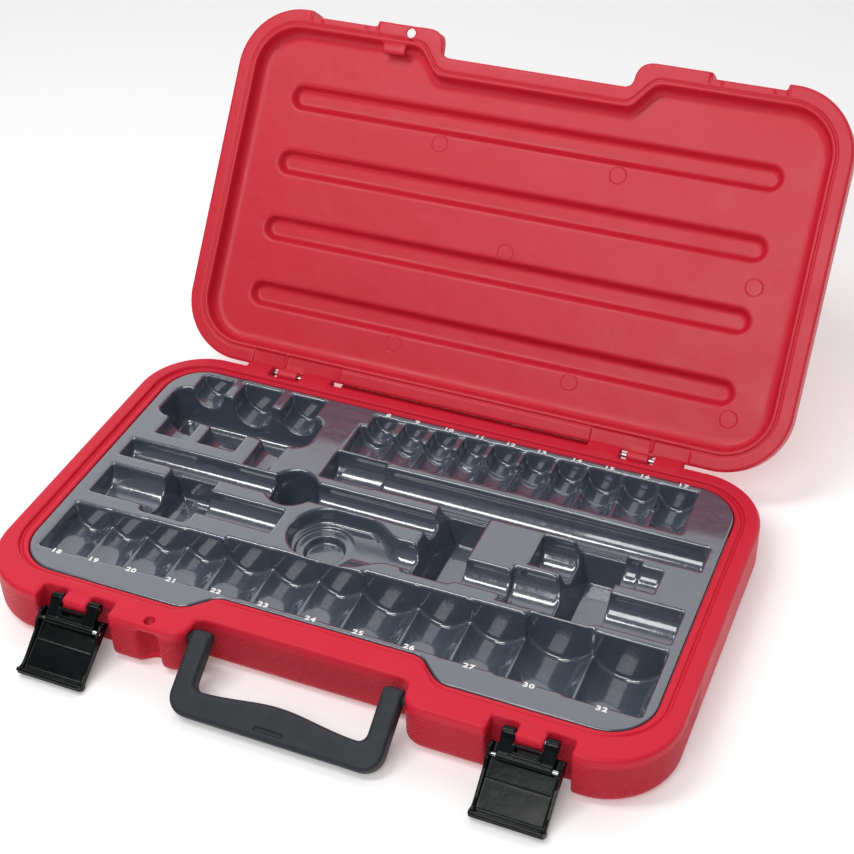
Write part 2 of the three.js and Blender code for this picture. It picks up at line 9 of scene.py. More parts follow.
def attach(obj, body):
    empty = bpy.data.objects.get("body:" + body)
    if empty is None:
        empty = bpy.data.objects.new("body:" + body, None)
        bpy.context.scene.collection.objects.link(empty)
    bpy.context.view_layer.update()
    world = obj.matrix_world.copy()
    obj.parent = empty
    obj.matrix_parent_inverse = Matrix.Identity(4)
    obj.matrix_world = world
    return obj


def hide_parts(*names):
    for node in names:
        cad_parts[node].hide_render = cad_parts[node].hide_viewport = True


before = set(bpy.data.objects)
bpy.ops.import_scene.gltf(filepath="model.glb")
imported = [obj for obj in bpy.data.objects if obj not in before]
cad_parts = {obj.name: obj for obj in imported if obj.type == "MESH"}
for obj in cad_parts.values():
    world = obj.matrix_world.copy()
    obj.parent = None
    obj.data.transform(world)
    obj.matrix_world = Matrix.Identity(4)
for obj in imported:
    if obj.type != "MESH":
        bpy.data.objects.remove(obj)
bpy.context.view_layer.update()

# ------------------------------------------------------------------ dimensions, millimetres
RIM = 38.0
LID_Z = RIM + 0.35
LID_TOP = RIM + 26.0
HINGE = (136.3, RIM - 4.4)
LID_OPEN = math.radians(127.25)
LATCH_X = 152.0
LINK_A = (-127.0, RIM - 4.5)
LINK_B = (-128.5, RIM - 18.9)
LINK_SWING = math.radians(42.9)
LEVER_OPEN = math.radians(122.5)
HANDLE_PIVOT = (-123.5, RIM - 8.0)
HANDLE_TILT = math.radians(56.5)
HANDLE_DROP = 48.0
TRAY_TOP = RIM - 2.0
PADLOCK = (-98.5, -128.5)
PADLOCK_FLANGE = 2.4
CASE_HALF, CASE_BACK, CASE_FRONT = 231, 133.5, -133.5
CASE_ROUND = 9.0
KNUCKLE_R = 4.4
WIRE_R = 1.5
WIRE_BORE = WIRE_R + 0.25
EYE_BORE = WIRE_R + 0.22
BAY_HALF = 26
GROOVES_Y = (80.0, 29.5, -21.0, -70.5)
DEEP = 34
DRAFT = 0.05


# ------------------------------------------------------------------ distance fields
def smin(a, b, k):
    if k <= 0:
        return np.minimum(a, b)
    h = np.maximum(k - np.abs(a - b), 0) / k
    return np.minimum(a, b) - h * h * (k * 0.25)


def smax(a, b, k):
    return -smin(-a, -b, k)


class Block:
    """A grid of distances; parts are added and cut inside a window round each one."""

    def __init__(self, lo, hi, step, start=60.0):
        self.lo = np.array(lo, float)
        self.step = step
        count = np.ceil((np.array(hi) - self.lo) / step).astype(int) + 1
        self.axes = [self.lo[i] + step * np.arange(count[i]) for i in range(3)]
        self.d = np.full(tuple(count), start, np.float32)

    def window(self, bounds, pad):
        cuts = []
        for i in range(3):
            a, b = bounds[2 * i] - pad, bounds[2 * i + 1] + pad
            i0 = max(int(math.floor((a - self.lo[i]) / self.step)), 0)
            i1 = min(int(math.ceil((b - self.lo[i]) / self.step)) + 1, self.d.shape[i])
            cuts.append(slice(i0, max(i1, i0)))
        x = self.axes[0][cuts[0]].astype(np.float32)[:, None, None]
        y = self.axes[1][cuts[1]].astype(np.float32)[None, :, None]
        z = self.axes[2][cuts[2]].astype(np.float32)[None, None, :]
        return tuple(cuts), x, y, z

    def all(self):
        return self.window([-1e4, 1e4] * 3, 0)[1:]

    def add(self, bounds, shape, k=0.0):
        sl, x, y, z = self.window(bounds, k + 2.5)
        self.d[sl] = smin(self.d[sl], shape(x, y, z), k)

    def cut(self, bounds, shape, k=0.0):
        sl, x, y, z = self.window(bounds, k + 2.5)
        self.d[sl] = smax(self.d[sl], -shape(x, y, z), k)


def rect(u, v, u0, u1, v0, v1, r):
    qu = np.abs(u - (u0 + u1) / 2) - (u1 - u0) / 2 + r
    qv = np.abs(v - (v0 + v1) / 2) - (v1 - v0) / 2 + r
    return np.hypot(np.maximum(qu, 0), np.maximum(qv, 0)) + np.minimum(np.maximum(qu, qv), 0) - r


def brick(x, y, z, x0, x1, y0, y1, z0, z1, r):
    q = [np.abs(c - (a + b) / 2) - (b - a) / 2 + r for c, a, b in ((x, x0, x1), (y, y0, y1), (z, z0, z1))]
    out = np.sqrt(sum(np.maximum(c, 0) ** 2 for c in q))
    return out + np.minimum(np.maximum(np.maximum(q[0], q[1]), q[2]), 0) - r


def rod_x(x, y, z, x0, x1, cy, cz, r, edge=0.5):
    return rect(x, np.hypot(y - cy, z - cz), x0, x1, -r, r, edge)


def rod_z(x, y, z, cx, cy, z0, z1, r, edge=0.5):
    return rect(z, np.hypot(x - cx, y - cy), z0, z1, -r, r, edge)


def plan(x, y, half, back, front, notch, notch_half, mouth, r, k_in, k_out):
    """A rounded rectangle with the handle recess let into its front side."""
    body = rect(x, y, -half, half, front, back, r)
    wide, deep = mouth - notch_half, notch - front
    side = ((np.abs(x) - notch_half) * deep + (y - notch) * wide) / math.hypot(wide, deep)
    return smax(body, -smax(y - notch, side, k_in), k_out)


def round_edge(side, up, r):
    """Where two fields meet at a right angle, with the corner between them rounded to r."""
    a, b = side + r, up + r
    return np.hypot(np.maximum(a, 0), np.maximum(b, 0)) + np.minimum(np.maximum(a, b), 0) - r


def case_plan(x, y):
    return plan(x, y, CASE_HALF, CASE_BACK, CASE_FRONT, -114.5, 72, 72, 47, 7, 14)


def lid_well_plan(x, y):
    return plan(x, y, 216.8, 119.3, -119.3, -100.3, 73.5, 89, 32.8, 4, 5)


def ledge_plan(x, y):
    return plan(x, y, 220.5, 123, -113.5, -97, 71, 87, 36, 4.5, 4)


def tray_plan(x, y):
    return plan(x, y, 213, 119, -108.5, -92, 70, 87, 30, 4.5, 4.5)


# ------------------------------------------------------------------ surface of a field
CORNERS = [(i, j, k) for i in (0, 1) for j in (0, 1) for k in (0, 1)]
EDGES = [(a, b) for a in range(8) for b in range(a + 1, 8)
         if sum(abs(p - q) for p, q in zip(CORNERS[a], CORNERS[b])) == 1]


def surface(block):
    """Vertices and outward-facing quads of the zero surface, with one vertex in each crossed cell."""
    d = block.d
    inside = d < 0
    shape = tuple(n - 1 for n in d.shape)
    count = np.zeros(shape, np.uint8)
    for i, j, k in CORNERS:
        count += inside[i:i + shape[0], j:j + shape[1], k:k + shape[2]]
    cells = np.argwhere((count > 0) & (count < 8))
    index = np.full(shape, -1, np.int32)
    index[tuple(cells.T)] = np.arange(len(cells), dtype=np.int32)
    stride = np.array([d.shape[1] * d.shape[2], d.shape[2], 1])
    base = cells @ stride
    flat = d.ravel()
    value = [flat[base + int(np.dot(c, stride))] for c in CORNERS]
    total = np.zeros((len(cells), 3))
    hits = np.zeros(len(cells))
    for a, b in EDGES:
        va, vb = value[a], value[b]
        crossed = (va < 0) != (vb < 0)
        t = np.where(crossed, va / np.where(crossed, va - vb, 1), 0)
        pa, pb = np.array(CORNERS[a]), np.array(CORNERS[b])
        total += crossed[:, None] * (pa + t[:, None] * (pb - pa))
        hits += crossed
    local = total / hits[:, None]
    verts = (cells + local) * block.step + block.lo
    quads = []
    for axis in range(3):
        u, v = [a for a in range(3) if a != axis]
        low = [slice(None)] * 3
        high = [slice(None)] * 3
        low[axis], high[axis] = slice(0, -1), slice(1, None)
        for a in (u, v):
            low[a] = high[a] = slice(1, -1)
        s0, s1 = inside[tuple(low)], inside[tuple(high)]
        spots = np.argwhere(s0 != s1)
        starts_in = s0[tuple(spots.T)]
        spots[:, u] += 1
        spots[:, v] += 1
        ring = []
        for du, dv in ((0, 0), (-1, 0), (-1, -1), (0, -1)):
            c = spots.copy()
            c[:, u] += du
            c[:, v] += dv
            ring.append(index[tuple(c.T)])
        quad = np.stack(ring, 1)
        flip = starts_in if axis == 1 else ~starts_in
        quad[flip] = quad[flip][:, ::-1]
        quads.append(quad)
    return verts, np.concatenate(quads)


def slope(block, points):
    """Unit gradient of the field at points, by differences of interpolated values."""
    def sample(p):
        g = (p - block.lo) / block.step
        top = np.array(block.d.shape) - 2
        i = np.clip(np.floor(g).astype(int), 0, top)
        f = np.clip(g - i, 0, 1)
        out = np.zeros(len(p))
        for c in CORNERS:
            w = np.prod([f[:, a] if c[a] else 1 - f[:, a] for a in range(3)], axis=0)
            out += w * block.d[i[:, 0] + c[0], i[:, 1] + c[1], i[:, 2] + c[2]]
        return out
    grad = np.zeros_like(points)
    for a in range(3):
        e = np.zeros(3)
        e[a] = block.step * 0.8
        grad[:, a] = sample(points + e) - sample(points - e)
    return grad / np.maximum(np.linalg.norm(grad, axis=1), 1e-6)[:, None]


def turn_x(points, angle, y, z):
    c, s = math.cos(angle), math.sin(angle)
    out = points.copy()
    dy, dz = points[:, 1] - y, points[:, 2] - z
    out[:, 1] = y + dy * c - dz * s
    out[:, 2] = z + dy * s + dz * c
    return out


def mesh_object(name, verts, faces):
    mesh = bpy.data.meshes.new(name)
    mesh.vertices.add(len(verts))
    mesh.vertices.foreach_set("co", (np.asarray(verts) * 0.001).astype(np.float32).ravel())
    faces = np.asarray(faces)
    mesh.loops.add(faces.size)
    mesh.polygons.add(len(faces))
    mesh.loops.foreach_set("vertex_index", faces.astype(np.int32).ravel())
    mesh.polygons.foreach_set("loop_start", np.arange(0, faces.size, faces.shape[1], dtype=np.int32))
    mesh.update(calc_edges=True)
    mesh.polygons.foreach_set("use_smooth", np.ones(len(mesh.polygons), bool))
    obj = bpy.data.objects.new(name, mesh)
    bpy.context.scene.collection.objects.link(obj)
    return obj


def piece(name, block, material, body, node, keep=None, target=60000, place=None):
    """Meshes a field, thins it to about target triangles, shades it by the field's own slope."""
    verts, quads = surface(block)
    if keep is not None:
        used = keep(verts)
        quads = quads[used[quads].all(axis=1)]
        live = np.unique(quads)
        remap = np.full(len(verts), -1)
        remap[live] = np.arange(len(live))
        verts, quads = verts[live], remap[quads]
    obj = mesh_object(name, verts, quads)
    mesh = obj.data
    ratio = target / (2 * len(quads))
    if ratio < 1:
        thin = obj.modifiers.new("thin", "DECIMATE")
        thin.ratio = ratio
        bpy.context.view_layer.objects.active = obj
        bpy.ops.object.modifier_apply(modifier="thin")
    points = np.empty(len(mesh.vertices) * 3, np.float32)
    mesh.vertices.foreach_get("co", points)
    points = points.reshape(-1, 3).astype(float) * 1000
    normals = slope(block, points)
    if place is not None:
        moved = place(points)
        normals = place(points + normals) - moved
        points = moved
        mesh.vertices.foreach_set("co", (points * 0.001).astype(np.float32).ravel())
        mesh.update()
    mesh.polygons.foreach_set("use_smooth", np.ones(len(mesh.polygons), bool))
    mesh.normals_split_custom_set_from_vertices(normals.tolist())
    mesh.materials.append(material)
    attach(obj, body)
    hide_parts(node)


# ------------------------------------------------------------------ materials
def principled(name, color, roughness, metallic=0.0):
    mat = bpy.data.materials.new(name)
    mat.use_nodes = True
    shader = mat.node_tree.nodes["Principled BSDF"]
    shader.inputs["Base Color"].default_value = (*color, 1)
    shader.inputs["Roughness"].default_value = roughness
    shader.inputs["Metallic"].default_value = metallic
    return mat, mat.node_tree, shader


def math_node(tree, op, a, b=None, c=None):
    node = tree.nodes.new("ShaderNodeMath")
    node.operation = op
    for socket, value in zip(node.inputs, (a, b, c)):
        if value is None:
            continue
        if isinstance(value, (int, float)):
            socket.default_value = value
        else:
            tree.links.new(value, socket)
    return node.outputs[0]


def place_of(tree):
    coord = tree.nodes.new("ShaderNodeTexCoord")
    split = tree.nodes.new("ShaderNodeSeparateXYZ")
    tree.links.new(coord.outputs["Object"], split.inputs[0])
    return coord.outputs["Object"], split.outputs


def noise(tree, vector, scale, detail=3.0, rough=0.5):
    node = tree.nodes.new("ShaderNodeTexNoise")
    node.inputs["Scale"].default_value = scale
    node.inputs["Detail"].default_value = detail
    node.inputs["Roughness"].default_value = rough
    tree.links.new(vector, node.inputs["Vector"])
    return node.outputs[0]


def bump(tree, shader, heights):
    """Adds up (height socket, depth in metres) pairs into the shader's normal."""
    last = None
    for height, depth in heights:
        node = tree.nodes.new("ShaderNodeBump")
        node.inputs["Strength"].default_value = 1.0
        node.inputs["Distance"].default_value = depth
        tree.links.new(height, node.inputs["Height"])
        if last is not None:
            tree.links.new(last, node.inputs["Normal"])
        last = node.outputs[0]
    tree.links.new(last, shader.inputs["Normal"])


def vary(tree, socket, value, amount, low, high):
    """Spreads a noise value round 0.5 over low to high."""
    node = tree.nodes.new("ShaderNodeMapRange")
    node.inputs["To Min"].default_value = low
    node.inputs["To Max"].default_value = high
    node.inputs["From Min"].default_value = 0.5 - amount
    node.inputs["From Max"].default_value = 0.5 + amount
    tree.links.new(value, node.inputs["Value"])
    tree.links.new(node.outputs[0], socket)


EJECTOR_R = 0.006
EJECTOR_LINE = 0.0007
EJECTOR_MARKS = [(-66, 96), (71, 96), (187, 97), (4, 15), (184, 5), (-63, -54), (73, -54)]


def ejector_rings(tree, x, y, z):
    """Height 1 along thin circles where the mould's ejector pins met the lid's inner skin."""
    c, s = math.cos(LID_OPEN), math.sin(LID_OPEN)
    hy, hz = HINGE[0] * 0.001, HINGE[1] * 0.001
    dy, dz = math_node(tree, "SUBTRACT", y, hy), math_node(tree, "SUBTRACT", z, hz)
    closed_y = math_node(tree, "SUBTRACT", math_node(tree, "MULTIPLY", dy, c), math_node(tree, "MULTIPLY", dz, s))
    closed_z = math_node(tree, "ADD", math_node(tree, "MULTIPLY", dy, s), math_node(tree, "MULTIPLY", dz, c))
    inner = math_node(tree, "LESS_THAN", closed_z, (LID_TOP - 8) * 0.001 - hz)
    flat = tree.nodes.new("ShaderNodeCombineXYZ")
    tree.links.new(x, flat.inputs[0])
    tree.links.new(math_node(tree, "ADD", closed_y, hy), flat.inputs[1])
    total = None
    for cx, cy in EJECTOR_MARKS:
        reach = tree.nodes.new("ShaderNodeVectorMath")
        reach.operation = "DISTANCE"
        tree.links.new(flat.outputs[0], reach.inputs[0])
        reach.inputs[1].default_value = (cx * 0.001, cy * 0.001, 0)
        off = math_node(tree, "ABSOLUTE", math_node(tree, "SUBTRACT", reach.outputs["Value"], EJECTOR_R))
        fade = tree.nodes.new("ShaderNodeMapRange")
        fade.inputs["From Max"].default_value = EJECTOR_LINE
        fade.inputs["To Min"].default_value = 1
        fade.inputs["To Max"].default_value = 0
        tree.links.new(off, fade.inputs["Value"])
        total = fade.outputs[0] if total is None else math_node(tree, "ADD", total, fade.outputs[0])
    return math_node(tree, "MULTIPLY", total, inner)


HATCH_PITCH = 0.0024
HATCH_Z = (0.006, 0.031)
HATCH_FRONT = -0.05


def red_plastic(name, hatched):
    """Satin red plastic; the base's front half also carries a fine diagonal hatch on its walls."""
    mat, tree, shader = principled(name, (0.6, 0.013, 0.036) if hatched else (0.62, 0.014, 0.036), 0.42)
    shader.inputs["Specular IOR Level"].default_value = 0.2 if hatched else 0.42
    vector, (x, y, z) = place_of(tree)
    cloud = noise(tree, vector, 26, 4)
    grain = noise(tree, vector, 900, 2)
    vary(tree, shader.inputs["Roughness"], cloud, 0.25, 0.36, 0.5)
    heights = [(cloud, 0.0009), (grain, 0.00004)]
    if hatched:
        along = math_node(tree, "ADD", x, y)
        pitch = 2 * math.pi / HATCH_PITCH
        one = math_node(tree, "SINE", math_node(tree, "MULTIPLY", math_node(tree, "ADD", along, z), pitch))
        two = math_node(tree, "SINE", math_node(tree, "MULTIPLY", math_node(tree, "SUBTRACT", along, z), pitch))
        weave = math_node(tree, "ADD", math_node(tree, "MULTIPLY", one, 0.35), two)
        low = math_node(tree, "GREATER_THAN", z, HATCH_Z[0])
        high = math_node(tree, "LESS_THAN", z, HATCH_Z[1])
        mask = math_node(tree, "MULTIPLY", math_node(tree, "MULTIPLY", low, high), weave)
        front = math_node(tree, "LESS_THAN", y, HATCH_FRONT)
        mask = math_node(tree, "MULTIPLY", mask, front)
        heights.append((mask, 0.00028))
    else:
        heights.append((ejector_rings(tree, x, y, z), -0.00028))
    bump(tree, shader, heights)
    return mat


def grey_sheet():
    mat, tree, shader = principled("tray_sheet", (0.06, 0.072, 0.1), 0.24)
    shader.inputs["Coat Weight"].default_value = 1.0
    shader.inputs["Coat IOR"].default_value = 1.75
    shader.inputs["Coat Roughness"].default_value = 0.06
    vector, _ = place_of(tree)
    cloud = noise(tree, vector, 60, 3)
    ripple = noise(tree, vector, 240, 2)
    vary(tree, shader.inputs["Roughness"], cloud, 0.25, 0.19, 0.28)
    bump(tree, shader, [(cloud, 0.0007), (ripple, 0.00018)])
    return mat


def plain_plastic(name, color, roughness, grain_depth, wave=0.0003, *, gloss):
    mat, tree, shader = principled(name, color, roughness)
    shader.inputs["Specular IOR Level"].default_value = gloss
    vector, _ = place_of(tree)
    cloud = noise(tree, vector, 90, 3)
    grain = noise(tree, vector, 1800, 2)
    vary(tree, shader.inputs["Roughness"], cloud, 0.25, roughness * 0.85, roughness * 1.2)
    bump(tree, shader, [(cloud, wave), (grain, grain_depth)])
    return mat


def wire_steel():
    mat, tree, shader = principled("plated_wire", (0.6, 0.6, 0.61), 0.25, 1.0)
    vector, _ = place_of(tree)
    drawn = noise(tree, vector, 1500, 2)
    vary(tree, shader.inputs["Roughness"], drawn, 0.3, 0.18, 0.34)
    bump(tree, shader, [(drawn, 0.00003)])
    return mat


base_red = red_plastic("moulded_red_base", True)
lid_red = red_plastic("moulded_red_lid", False)
sheet_grey = grey_sheet()
latch_black = plain_plastic("latch_black_gloss", (0.003, 0.0045, 0.005), 0.16, 0.00001, 0.00012, gloss=0.17)
handle_grey = plain_plastic("handle_charcoal", (0.022, 0.025, 0.032), 0.5, 0.00006, gloss=0.25)
steel = wire_steel()
ink, ink_tree, ink_shader = principled("size_mark_white", (0.8, 0.8, 0.8), 0.5)
ink_vector, _ = place_of(ink_tree)
bump(ink_tree, ink_shader, [(noise(ink_tree, ink_vector, 3000, 2), 0.00002)])


# ------------------------------------------------------------------ base shell
def make_base():
    """The lower shell; keep drops the cavity's walls that the tray hides."""
    b = Block((-233.4, -135.9, -2.4), (233.4, 149.3, 40.4), 1.0)
    x, y, z = b.all()
    edge = case_plan(x, y)
    b.d = smax(round_edge(edge, -z, CASE_ROUND), round_edge(edge, z - RIM, 2.4), 0.0).astype(np.float32)
    ledge = ledge_plan(x, y)
    b.d = smax(b.d, -smax(ledge, RIM - 1.7 - z, 0.6), 0.8)
    b.d = smax(b.d, -smax(np.abs(ledge + 1.1) - 0.9, RIM - 2.9 - z, 0.4), 0.6)
    b.d = smax(b.d, -np.maximum(tray_plan(x, y) - 0.6, 2.6 - z), 1.0)
    for side in (-1, 1):
        cx = side * LATCH_X
        b.cut((cx - BAY_HALF, cx + BAY_HALF, -140, -121.5, -5, 45),
              lambda x, y, z: smax(np.abs(x - cx) - BAY_HALF, y + 121.5, 3), 2.2)
        b.add((cx - 9, cx + 9, -131, -120, 29, 38),
              lambda x, y, z: brick(x, y, z, cx - 9, cx + 9, -131, -118, 29.6, 37.3, 2.4), 2.0)
        k0, k1 = sorted((side * 122.5, side * 147.1))
        b.cut((k0, k1, 127, 146, 27, 42), lambda x, y, z: brick(x, y, z, k0, k1, 127.5, 160, 28.5, 60, 0.8), 0.8)
        for x0, x1 in ((99, 122.4), (147.2, 167)):
            a0, a1 = sorted((side * x0, side * x1))
            b.add((a0, a1, 126, 141, 28, 40), lambda x, y, z: smin(
                rod_x(x, y, z, a0, a1, *HINGE, KNUCKLE_R, 0.6),
                brick(x, y, z, a0, a1, 125.8, 138.5, 29.2, RIM + 0.8, 1.2), 1.0), 0.7)
        a0, a1 = sorted((side * 94, side * 172))
        b.cut((a0, a1, 134, 139, 31, 36), lambda x, y, z: rod_x(x, y, z, a0, a1, *HINGE, WIRE_BORE, 0))
        h0, h1 = sorted((side * 66, side * 82))
        b.cut((h0, h1, -128, -119, 25, 35), lambda x, y, z: rod_x(x, y, z, h0, h1, *HANDLE_PIVOT, 3.35, 0))
        b.cut((cx - 20, cx + 20, -130, -124, 30, 37),
              lambda x, y, z: rod_x(x, y, z, cx - 12, cx + 12, *LINK_A, WIRE_BORE, 0))
    b.cut((-102, -95, -131, -124, -5, 45), lambda x, y, z: rod_z(x, y, z, -98.5, -127.5, -9, 50, 3.4, 0), 0.9)
    b.add((-96, 96, 131, 147, 23, 30), lambda x, y, z: brick(
        x, y, z, -96, 96, 130, 147.2, RIM - 13.5, RIM - 9.35, 0.25), 1.2)
    b.cut((-108, -89, -140, -121, -5, 35), lambda x, y, z: rod_z(x, y, z, -98.5, -132, -30, RIM - 7, 6.8, 1.5), 4.0)
    tray_edge = lambda v: tray_plan(v[:, 0], v[:, 1])
    piece("base_body", b, base_red, "base", "base_shell",
                 keep=lambda v: (tray_edge(v) > -1.5) & ((tray_edge(v) > 2.5) | (v[:, 2] > 22)) | (v[:, 2] < 1.5),
                 target=110000)


# ------------------------------------------------------------------ lid shell, meshed closed, then swung open
def make_lid():
    b = Block((-233.4, -135.9, 22.6), (233.4, 145.3, 66.4), 1.0)
    x, y, z = b.all()
    edge = case_plan(x, y)
    b.d = smax(round_edge(edge, LID_Z - z, 1.8), round_edge(edge, z - LID_TOP, CASE_ROUND), 0.0).astype(np.float32)
    inner = lid_well_plan(x, y)
    hollow = smax(inner + (z - LID_Z) * 0.12, z - LID_Z - 12, 7)
    b.d = smax(b.d, -hollow, 1.6)
    seam = np.abs(inner - 3.4) - 0.7
    b.d = smax(b.d, -np.maximum(seam, z - LID_Z - 1.3), 0.7)
    for cy in GROOVES_Y:
        def groove(x, y, z):
            flat = np.hypot(np.maximum(np.abs(x + 0.4) - 177.8, 0), y - cy) - 9.3 + (z - LID_Z - 12) * 0.5
            return smax(flat, z - LID_Z - 18.6, 2.5)
        b.cut((-190, 189, cy - 11, cy + 11, 40, 55), groove, 1.8)
    for side in (-1, 1):
        cx = side * LATCH_X
        b.cut((cx - BAY_HALF, cx + BAY_HALF, -140, -129, 30, 70),
              lambda x, y, z: smax(np.abs(x - cx) - BAY_HALF, y + 129, 2), 1.6)
        b.cut((cx - BAY_HALF, cx + BAY_HALF, -140, -124.5, 52, 70),
              lambda x, y, z: np.maximum(smax(np.abs(x - cx) - BAY_HALF, y + 124.5, 2), 52.2 - z), 1.2)
        s0, s1 = sorted((side * 70, side * 78.5))
        b.cut((s0, s1, -140, -115.5, 40, 70), lambda x, y, z: np.maximum(
            smax(np.abs(x) - 78.5, y + 115.5, 3) + 0 * z, LID_Z + 3 - z), 1.0)
        n0, n1 = sorted((side * 97, side * 168.5))
        b.cut((n0, n1, 122, 140, 34, 41), lambda x, y, z: brick(x, y, z, n0, n1, 122, 150, 20, LID_Z + 1.4, 0.4), 0.5)
        ridge = side * 141.4
        b.add((ridge - 1, ridge + 1, 122, 131, 38, 41), lambda x, y, z: brick(
            x, y, z, ridge - 0.9, ridge + 0.9, 120, 130.5, LID_Z + 0.1, LID_Z + 4, 0.5), 0.5)
        k0, k1 = sorted((side * 126.9, side * 142.6))
        b.add((k0, k1, 130, 142, 28, 46), lambda x, y, z: smin(
            rod_x(x, y, z, k0, k1, *HINGE, KNUCKLE_R, 0.6),
            brick(x, y, z, k0, k1, 133.3, 140.7, HINGE[1], LID_Z + 7, 1.0), 1.0), 0.5)
        b.add((k0, k1, 129, 139, 39, 46), lambda x, y, z: brick(
            x, y, z, k0, k1, 129.5, 138, LID_Z + 1.4, LID_Z + 7, 1.0), 0.8)
        b.cut((k0, k1, 134, 139, 31, 36), lambda x, y, z: rod_x(x, y, z, k0 - 5, k1 + 5, *HINGE, WIRE_BORE, 0))
    b.cut((-102, -95, -131, -124, 30, 70), lambda x, y, z: rod_z(x, y, z, -98.5, -127.9, 20, 80, 3.3, 0), 0.6)
    b.cut((-116, -91, -137, -121, 40, 70), lambda x, y, z: rod_z(
        x, y, z, np.clip(x, -108.5, PADLOCK[0]), PADLOCK[1], LID_Z + PADLOCK_FLANGE, 90, 6.5, 0.8), 1.6)
    b.add((-120, -100, -119, -110, 39, 44), lambda x, y, z: brick(
        x, y, z, -119.5, -100.5, -121, -111.2, 39.6, 44, 1.8), 1.2)
    for line in (-179.5, -170.5, -134, -125, 125, 134, 170.5, 179.5):
        b.cut((line - 1, line + 1, -131, -120, 37, 41), lambda x, y, z: brick(
            x, y, z, line - 0.7, line + 0.7, -134, -124, 30, LID_Z + 1.1, 0.2), 0.4)
    piece("lid_body", b, lid_red, "lid", "lid_shell", target=110000,
                 place=lambda p: turn_x(p, -LID_OPEN, *HINGE))


# ------------------------------------------------------------------ tool tray
FRONT_EDGES = [-203.5, -177.5, -150.4, -120.6, -91.3, -58.7, -25.6, 6.0, 43.7, 79.4, 116.5, 158.9, 205.5]
FRONT_BACKS = [-45.5, -44.8, -44, -43, -40.5, -40, -39.5, -37.6, -37.2, -36.8, -33.6, -35.4]
BACK_EDGES = [-56, -33, -10, 13, 35.5, 59.5, 83.5, 106.5, 131.5, 157, 183.5]
BACK_SEATS = [14.7, 15.6, 16.2, 16.7, 18, 18, 18.8, 21.4, 21.4, 21.9]
BACK_RIDGES = [3.3, 3.3, 5.9, 6.8, 8.1, 8.5, 11.6, 14.3, 14.3]


def trough(u, v, z, u0, u1, v0, v1, depth, k=2.0):
    """A groove along u with a round bottom across v0 to v1, its walls opening a little upwards."""
    half, low = (v1 - v0) / 2, RIM - depth
    rise = z - (low + half)
    round_part = np.hypot(v - (v0 + v1) / 2, np.minimum(rise, 0)) - half - np.maximum(rise, 0) * 0.03
    ends = np.maximum(u0 - u, u - u1) - (z - low - depth * 0.5) * DRAFT
    return smax(round_part, ends, k)


def pit(x, y, z, x0, x1, y0, y1, depth, r=4.0, k=7.0):
    walls = rect(x, y, x0, x1, y0, y1, r) - (z - RIM + depth * 0.5) * DRAFT
    return smax(walls, RIM - depth - z, k)


def finger_hole(x, y, z, x0, x1, y0, y1, lean, tilt):
    """A deep hole whose left wall leans in by lean, and whose back wall by tilt, per unit of depth."""
    down = RIM - z
    leaning = smax(x0 + down * lean - x, y - y1 + down * tilt, 3.0)
    return smax(pit(x, y, z, x0, x1, y0, y1, DEEP, 4, 1.5), leaning, 1.5)


def bowl(x, y, z, cx, cy, r, depth, k=4.0):
    return smax(np.hypot(x - cx, y - cy) - r - (z - RIM + depth * 0.5) * DRAFT, RIM - depth - z, k)


